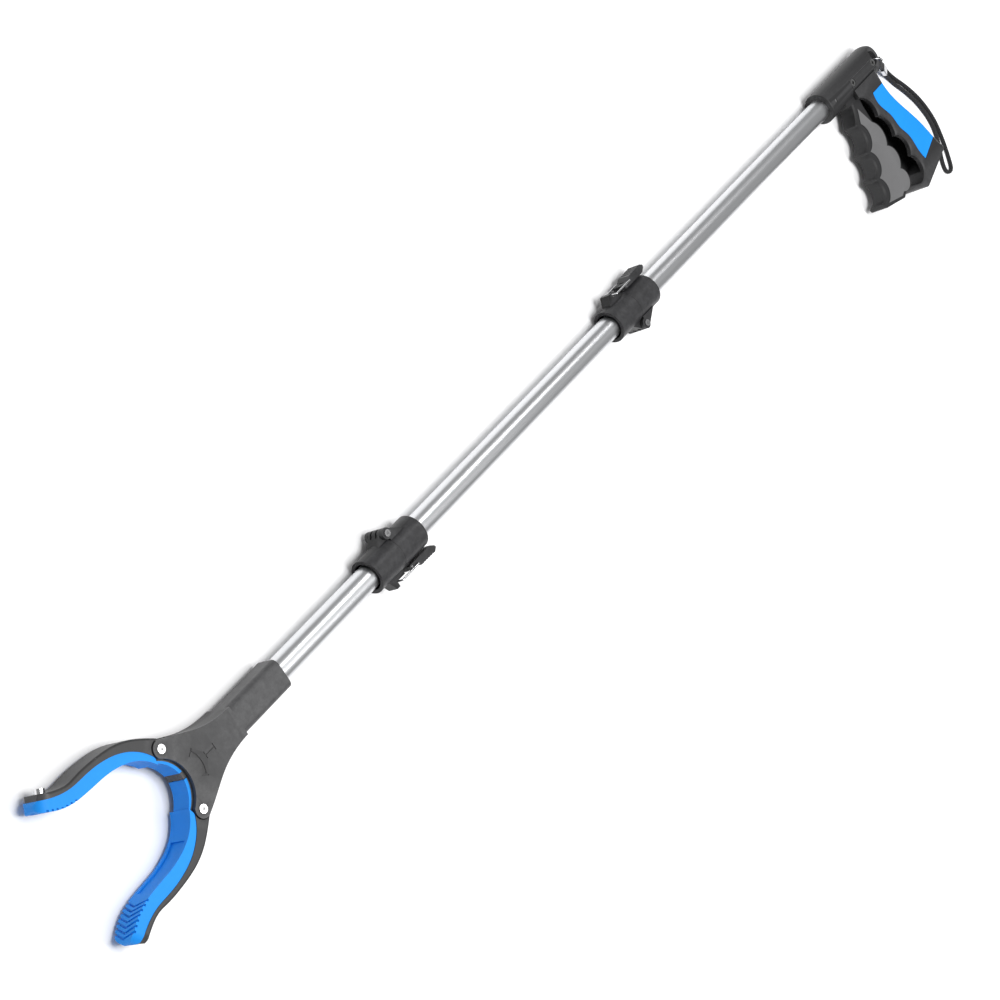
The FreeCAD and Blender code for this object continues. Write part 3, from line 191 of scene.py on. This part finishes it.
def moulded_grain():
    """Fine spark-eroded grain of moulded plastic, with faint flow clouds."""
    group = Group("moulded_grain", [("Color", "NodeSocketColor", (0.1, 0.1, 0.1, 1)),
                                    ("Grain", "NodeSocketFloat", 2600.0), ("Cloud", "NodeSocketFloat", 0.25),
                                    ("Smooth", "NodeSocketFloat", 0.42)],
                  PATTERN_OUTPUTS)
    place = group.node("TexCoord").outputs["Object"]
    grain = group.noise(place, group.entry["Grain"], 2.0)
    cloud = group.noise(place, 38.0, 4.0)
    shift = group.maths("MULTIPLY", group.maths("SUBTRACT", cloud, 0.5), group.entry["Cloud"])
    bright = group.node("HueSaturation")
    group.link(group.maths("ADD", 1.0, shift), bright.inputs["Value"])
    group.link(group.entry["Color"], bright.inputs["Color"])
    group.link(bright.outputs[0], group.exit["Color"])
    spread = group.maths("MULTIPLY", group.maths("SUBTRACT", grain, 0.5), 0.16)
    rough = group.maths("ADD", group.entry["Smooth"], spread)
    clouded = group.maths("ADD", rough, group.maths("MULTIPLY", shift, 0.35), True)
    group.link(clouded, group.exit["Roughness"])
    group.link(grain, group.exit["Height"])
    return group.tree


def wear_and_highlight_edges():
    """Lighter colour where a surface turns sharply, in patches: rubbed wear and a painted highlight along
    the edges.
    """
    group = Group("wear_and_highlight_edges", [("Color", "NodeSocketColor", (0.1, 0.1, 0.1, 1)),
                                 ("Wear_Highlight", "NodeSocketColor", (0.3, 0.3, 0.3, 1)),
                                 ("Amount", "NodeSocketFloat", 0.4)],
                  [("Color", "NodeSocketColor"), ("Mask", "NodeSocketFloat")])
    place = group.node("TexCoord").outputs["Object"]
    point = group.node("NewGeometry").outputs["Pointiness"]
    # Convex edges take the lighter colour in noise patches: rubbed wear and a painted highlight along the
    # edges.
    edge = group.maths("MULTIPLY", group.maths("SUBTRACT", point, 0.52), 9.0, True)
    patch = group.maths("MULTIPLY", group.noise(place, 210.0, 5.0, 0.7), group.entry["Amount"])
    wear_highlight_mask = group.maths("MULTIPLY", edge, patch, True)
    group.link(group.blend(wear_highlight_mask, group.entry["Color"], group.entry["Wear_Highlight"]), group.exit["Color"])
    group.link(wear_highlight_mask, group.exit["Mask"])
    return group.tree


def drawn_streaks():
    """Long fine streaks along the tool, as drawn and anodised tube has."""
    group = Group("drawn_streaks", [("Color", "NodeSocketColor", (0.7, 0.7, 0.7, 1)),
                                    ("Smooth", "NodeSocketFloat", 0.3)],
                  PATTERN_OUTPUTS)
    place = group.node("TexCoord").outputs["Object"]
    stretch = group.node("Mapping")
    stretch.inputs["Scale"].default_value = (3.0, 420.0, 420.0)
    group.link(place, stretch.inputs["Vector"])
    streak = group.noise(stretch.outputs[0], 1.0, 4.0, 0.6)
    dust = group.noise(place, 55.0, 5.0, 0.65)
    bright = group.node("HueSaturation")
    change = group.maths("ADD", group.maths("MULTIPLY", streak, 0.10), group.maths("MULTIPLY", dust, 0.05))
    group.link(group.maths("ADD", 0.925, change), bright.inputs["Value"])
    group.link(group.entry["Color"], bright.inputs["Color"])
    group.link(bright.outputs[0], group.exit["Color"])
    rough = group.maths("ADD", group.entry["Smooth"], group.maths("MULTIPLY", streak, 0.14))
    group.link(group.maths("SUBTRACT", rough, 0.07, True), group.exit["Roughness"])
    group.link(streak, group.exit["Height"])
    return group.tree


def plaited_weave():
    """Two crossing sets of yarns, read along and round the cord."""
    group = Group("plaited_weave", [("Color", "NodeSocketColor", (0.02, 0.02, 0.02, 1)),
                                    ("Along", "NodeSocketFloat", 150.0), ("Round", "NodeSocketFloat", 8.0)],
                  PATTERN_OUTPUTS)
    place = group.node("UVMap").outputs[0]
    split = group.node("SeparateXYZ")
    group.link(place, split.inputs[0])
    run = group.maths("MULTIPLY", split.outputs[0], group.entry["Along"])
    turn = group.maths("MULTIPLY", split.outputs[1], group.entry["Round"])
    waves = []
    for sign in ("ADD", "SUBTRACT"):
        slant = group.maths(sign, run, turn)
        swell = group.maths("SINE", group.maths("MULTIPLY", slant, math.pi), 0.0)
        waves.append(group.maths("ABSOLUTE", swell, 0.0))
    yarn = group.maths("MULTIPLY", waves[0], waves[1])
    group.link(yarn, group.exit["Height"])
    # Colour follows the yarn height: the grooves between yarns keep the dark cord colour and the crests turn
    # lighter grey, a painted shade in the grooves.
    light = group.blend(yarn, group.entry["Color"], (0.030, 0.030, 0.032, 1.0))
    fuzz = group.noise(group.node("TexCoord").outputs["Object"], 900.0, 2.0)
    tone = group.node("HueSaturation")
    group.link(group.maths("ADD", 0.75, group.maths("MULTIPLY", fuzz, 0.5)), tone.inputs["Value"])
    group.link(light, tone.inputs["Color"])
    group.link(tone.outputs[0], group.exit["Color"])
    group.link(group.maths("SUBTRACT", 0.95, group.maths("MULTIPLY", yarn, 0.25)), group.exit["Roughness"])
    return group.tree


GROUPS = {}


def group_named(name, maker):
    if name not in GROUPS:
        GROUPS[name] = maker()
    return GROUPS[name]


def finish_from(name, group, values, edge_wear_highlight=None, bump=0.12, depth=0.00008, **principled):
    """A material with one pattern group, edge wear with a painted edge highlight if asked, and its bump."""
    material = bpy.data.materials.new(name)
    material.use_nodes = True
    tree = material.node_tree
    shader = tree.nodes["Principled BSDF"]
    for socket, value in principled.items():
        shader.inputs[socket.replace("_", " ")].default_value = value
    pattern = tree.nodes.new("ShaderNodeGroup")
    pattern.node_tree = group
    for socket, value in values.items():
        pattern.inputs[socket].default_value = value
    colour = pattern.outputs["Color"]
    # Lighter edge colour and amount: rubbed wear and a painted highlight on the convex edges.
    if edge_wear_highlight:
        edges = tree.nodes.new("ShaderNodeGroup")
        edges.node_tree = group_named("wear_and_highlight_edges", wear_and_highlight_edges)
        edges.inputs["Wear_Highlight"].default_value = (*edge_wear_highlight[0], 1.0)
        edges.inputs["Amount"].default_value = edge_wear_highlight[1]
        tree.links.new(colour, edges.inputs["Color"])
        colour = edges.outputs["Color"]
    tree.links.new(colour, shader.inputs["Base Color"])
    tree.links.new(pattern.outputs["Roughness"], shader.inputs["Roughness"])
    raised = tree.nodes.new("ShaderNodeBump")
    raised.inputs["Strength"].default_value = bump
    raised.inputs["Distance"].default_value = depth
    tree.links.new(pattern.outputs["Height"], raised.inputs["Height"])
    tree.links.new(raised.outputs[0], shader.inputs["Normal"])
    return material


def moulded(name, colour, edge_wear_highlight, smooth=0.42, grain=2600.0, cloud=0.25, bump=0.12, **principled):
    group = group_named("moulded_grain", moulded_grain)
    values = {"Color": (*colour, 1.0), "Grain": grain, "Cloud": cloud, "Smooth": smooth}
    return finish_from(name, group, values, edge_wear_highlight=edge_wear_highlight, bump=bump, **principled)


def metal(name, colour, smooth, **principled):
    group = group_named("drawn_streaks", drawn_streaks)
    return finish_from(name, group, {"Color": (*colour, 1.0), "Smooth": smooth}, bump=0.02,
                       depth=0.00002, Metallic=1.0, **principled)


def two_tone(material, dark, level):
    """Turns a material's colour dark where the surface lies nearer the middle plane than level."""
    tree = material.node_tree
    shader = tree.nodes["Principled BSDF"]
    pale = shader.inputs["Base Color"].links[0].from_socket
    place = tree.nodes.new("ShaderNodeTexCoord").outputs["Object"]
    split = tree.nodes.new("ShaderNodeSeparateXYZ")
    tree.links.new(place, split.inputs[0])
    height = tree.nodes.new("ShaderNodeMath")
    height.operation = "ABSOLUTE"
    tree.links.new(split.outputs["Z"], height.inputs[0])
    above = tree.nodes.new("ShaderNodeMath")
    above.operation = "GREATER_THAN"
    above.inputs[1].default_value = level
    tree.links.new(height.outputs[0], above.inputs[0])
    mix = tree.nodes.new("ShaderNodeMix")
    mix.data_type = "RGBA"
    mix.inputs[6].default_value = (*dark, 1.0)
    tree.links.new(above.outputs[0], mix.inputs[0])
    tree.links.new(pale, mix.inputs[7])
    tree.links.new(mix.outputs[2], shader.inputs["Base Color"])


def dress(material, *nodes):
    for name in nodes:
        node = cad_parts[name]
        node.data.materials.clear()
        node.data.materials.append(material)


def smooth_sides(*nodes):
    bpy.ops.object.select_all(action="DESELECT")
    for name in nodes:
        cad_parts[name].select_set(True)
    bpy.context.view_layer.objects.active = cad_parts[nodes[0]]
    bpy.ops.object.shade_smooth_by_angle(angle=SMOOTH_ANGLE)
    bpy.ops.object.select_all(action="DESELECT")


# ---------------------------------------------------------------- operators


class REACHER_OT_studio(bpy.types.Operator):
    """Camera, pale floor and soft lights"""
    bl_idname = "reacher.studio"
    bl_label = "Studio"

    def execute(self, context):
        sizes = context.scene.reacher_sizes
        lens = bpy.data.cameras.new("camera")
        lens.lens = LENS
        lens.sensor_width = SENSOR
        lens.shift_x, lens.shift_y = LENS_SHIFT
        lens.clip_start = 0.05
        lens.clip_end = 200.0
        camera = bpy.data.objects.new("camera", lens)
        camera.matrix_world = Matrix.Translation(CAMERA_PLACE) @ Matrix(CAMERA_TURN).to_4x4()
        context.scene.collection.objects.link(camera)
        context.scene.camera = camera
        bpy.ops.object.select_all(action="DESELECT")
        level = CAD_BOX[0][2] - sizes.floor_gap
        bpy.ops.mesh.primitive_plane_add(size=sizes.floor_size, location=(0.5, 0.0, level))
        floor = context.object
        floor.name = "floor"
        paper = bpy.data.materials.new("paper_floor")
        paper.use_nodes = True
        shader = paper.node_tree.nodes["Principled BSDF"]
        shader.inputs["Base Color"].default_value = FLOOR_COLOUR
        shader.inputs["Roughness"].default_value = 0.85
        shader.inputs["Specular IOR Level"].default_value = 0.2
        floor.data.materials.append(paper)
        for name, place, size, power in LIGHTS:
            lamp = bpy.data.lights.new(name, "AREA")
            lamp.size = size
            lamp.energy = power
            light = bpy.data.objects.new(name, lamp)
            light.location = place
            light.rotation_mode = "QUATERNION"
            light.rotation_quaternion = (TOOL_MIDDLE - Vector(place)).to_track_quat("-Z", "Y")
            context.scene.collection.objects.link(light)
        world = bpy.data.worlds.new("soft_room")
        world.use_nodes = True
        world.node_tree.nodes["Background"].inputs["Color"].default_value = (1.0, 1.0, 1.0, 1.0)
        world.node_tree.nodes["Background"].inputs["Strength"].default_value = ROOM_LIGHT
        context.scene.world = world
        context.scene.view_settings.view_transform = "Standard"
        return {"FINISHED"}


class REACHER_OT_lanyard(bpy.types.Operator):
    """The woven cord of the lanyard, from the crimp round its end loop and back"""
    bl_idname = "reacher.lanyard"
    bl_label = "Lanyard cord"

    def execute(self, context):
        colours = context.scene.reacher_colours
        diameter = context.scene.reacher_sizes.cord_diameter
        line = bpy.data.curves.new("lanyard_weave", "CURVE")
        line.dimensions = "3D"
        line.twist_mode = "MINIMUM"
        line.resolution_u = 12
        line.bevel_depth = diameter / 2
        line.bevel_resolution = 5
        line.use_fill_caps = True
        spline = line.splines.new("NURBS")
        spline.points.add(len(CORD_POINTS) - 1)
        for point, place in zip(spline.points, CORD_POINTS):
            point.co = (place[0] * MM, place[1] * MM, place[2] * MM, 1.0)
        spline.order_u = 3
        spline.use_endpoint_u = True
        cord = bpy.data.objects.new("lanyard_weave", line)
        context.scene.collection.objects.link(cord)
        group = group_named("plaited_weave", plaited_weave)
        weave = finish_from("plaited_cord", group, {"Color": (*colours.cord, 1.0)}, bump=0.8, depth=0.0004)
        line.materials.append(weave)
        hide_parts("lanyard_cord")
        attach(cord, "handle")
        return {"FINISHED"}


class REACHER_OT_plastics(bpy.types.Operator):
    """Moulded plastic of the handle, trigger, collars, levers, head and jaws"""
    bl_idname = "reacher.plastics"
    bl_label = "Moulded plastics"

    def execute(self, context):
        colours = context.scene.reacher_colours
        # Each moulded call's second value is a lighter edge colour and amount: rubbed wear and a painted
        # edge highlight.
        shell = moulded("shell_plastic", colours.shell, ((0.16, 0.16, 0.165), 0.5), smooth=0.44,
                        cloud=0.10, Specular_IOR_Level=0.35)
        dress(shell, *SHELLS)
        panel = moulded("trigger_plastic", colours.trigger_face, ((0.22, 0.22, 0.225), 0.5), smooth=0.48,
                        cloud=0.08, Specular_IOR_Level=0.35)
        two_tone(panel, colours.shell, PANEL_LEVEL)
        dress(panel, "trigger")
        collar = moulded("collar_plastic", colours.collar, ((0.10, 0.10, 0.105), 0.6), smooth=0.42,
                         cloud=0.10, Specular_IOR_Level=0.28)
        dress(collar, *COLLARS)
        head = moulded("head_plastic", colours.head, ((0.18, 0.18, 0.185), 0.5), smooth=0.46,
                       cloud=0.08, Specular_IOR_Level=0.35)
        dress(head, *HEAD)
        smooth_sides(*SHELLS, "trigger", *COLLARS, *HEAD)
        return {"FINISHED"}


class REACHER_OT_soft_parts(bpy.types.Operator):
    """Soft rubber of the grip inlay and the jaw pads"""
    bl_idname = "reacher.soft_parts"
    bl_label = "Soft parts"

    def execute(self, context):
        colours = context.scene.reacher_colours
        # The lighter blue edge colour is rubbed wear and a painted highlight on the pad edges.
        rubber = moulded("blue_rubber", colours.soft, ((0.03, 0.36, 0.92), 0.35), smooth=0.58, grain=1500.0,
                         cloud=0.12, bump=0.14, Specular_IOR_Level=0.25)
        dress(rubber, *SOFT)
        smooth_sides(*SOFT)
        return {"FINISHED"}


class REACHER_OT_metals(bpy.types.Operator):
    """Anodised tubes, steel fittings, screws and magnets"""
    bl_idname = "reacher.metals"
    bl_label = "Metals"

    def execute(self, context):
        colours = context.scene.reacher_colours
        dress(metal("tube_aluminium", colours.tube, 0.33), *TUBES)
        dress(metal("bright_steel", colours.steel, 0.22), *FITTINGS)
        dress(metal("pivot_steel", (0.80, 0.80, 0.80), 0.30), *PIVOTS)
        dress(metal("magnet_nickel", (0.72, 0.72, 0.73), 0.18), *MAGNETS)
        # The grey edge colour is rubbed wear and a painted highlight on the screw heads' edges.
        dark = moulded("black_steel", (0.02, 0.02, 0.02), ((0.2, 0.2, 0.2), 0.7), smooth=0.34)
        dress(dark, *BARREL_SCREWS)
        smooth_sides(*TUBES, *FITTINGS, *PIVOTS, *MAGNETS, *BARREL_SCREWS)
        return {"FINISHED"}


class REACHER_OT_strap(bpy.types.Operator):
    """Webbing tab between the ring and the crimp"""
    bl_idname = "reacher.strap"
    bl_label = "Lanyard tab"

    def execute(self, context):
        # The grey edge colour is rubbed wear and a painted highlight on the tab's edges.
        tab = moulded("tab_webbing", context.scene.reacher_colours.cord, ((0.08, 0.08, 0.08), 0.6),
                      smooth=0.75, grain=1800.0, cloud=0.5, bump=0.5)
        dress(tab, "lanyard_tab", "lanyard_cord")
        return {"FINISHED"}


class REACHER_PT_panel(bpy.types.Panel):
    """Lists the reacher's operators and settings"""
    bl_idname = "REACHER_PT_panel"
    bl_label = "Reacher grabber"
    bl_space_type = "VIEW_3D"
    bl_region_type = "UI"
    bl_category = "Reacher"

    def draw(self, context):
        layout = self.layout
        for name in ("shell", "trigger_face", "collar", "head", "soft", "tube", "steel", "cord"):
            layout.prop(context.scene.reacher_colours, name)
        for name in ("cord_diameter", "floor_gap", "floor_size"):
            layout.prop(context.scene.reacher_sizes, name)
        for operator in OPERATORS:
            layout.operator(operator.bl_idname)


OPERATORS = (REACHER_OT_studio, REACHER_OT_lanyard, REACHER_OT_plastics, REACHER_OT_soft_parts,
             REACHER_OT_metals, REACHER_OT_strap)
CLASSES = (ReacherColours, ReacherSizes) + OPERATORS + (REACHER_PT_panel,)


def register():
    for made in CLASSES:
        bpy.utils.register_class(made)
    bpy.types.Scene.reacher_colours = bpy.props.PointerProperty(type=ReacherColours)
    bpy.types.Scene.reacher_sizes = bpy.props.PointerProperty(type=ReacherSizes)


def unregister():
    del bpy.types.Scene.reacher_sizes
    del bpy.types.Scene.reacher_colours
    for made in reversed(CLASSES):
        bpy.utils.unregister_class(made)


def main():
    register()
    bpy.ops.reacher.studio()
    bpy.ops.reacher.lanyard()
    bpy.ops.reacher.plastics()
    bpy.ops.reacher.soft_parts()
    bpy.ops.reacher.metals()
    bpy.ops.reacher.strap()


if __name__ == "__main__":
    main()
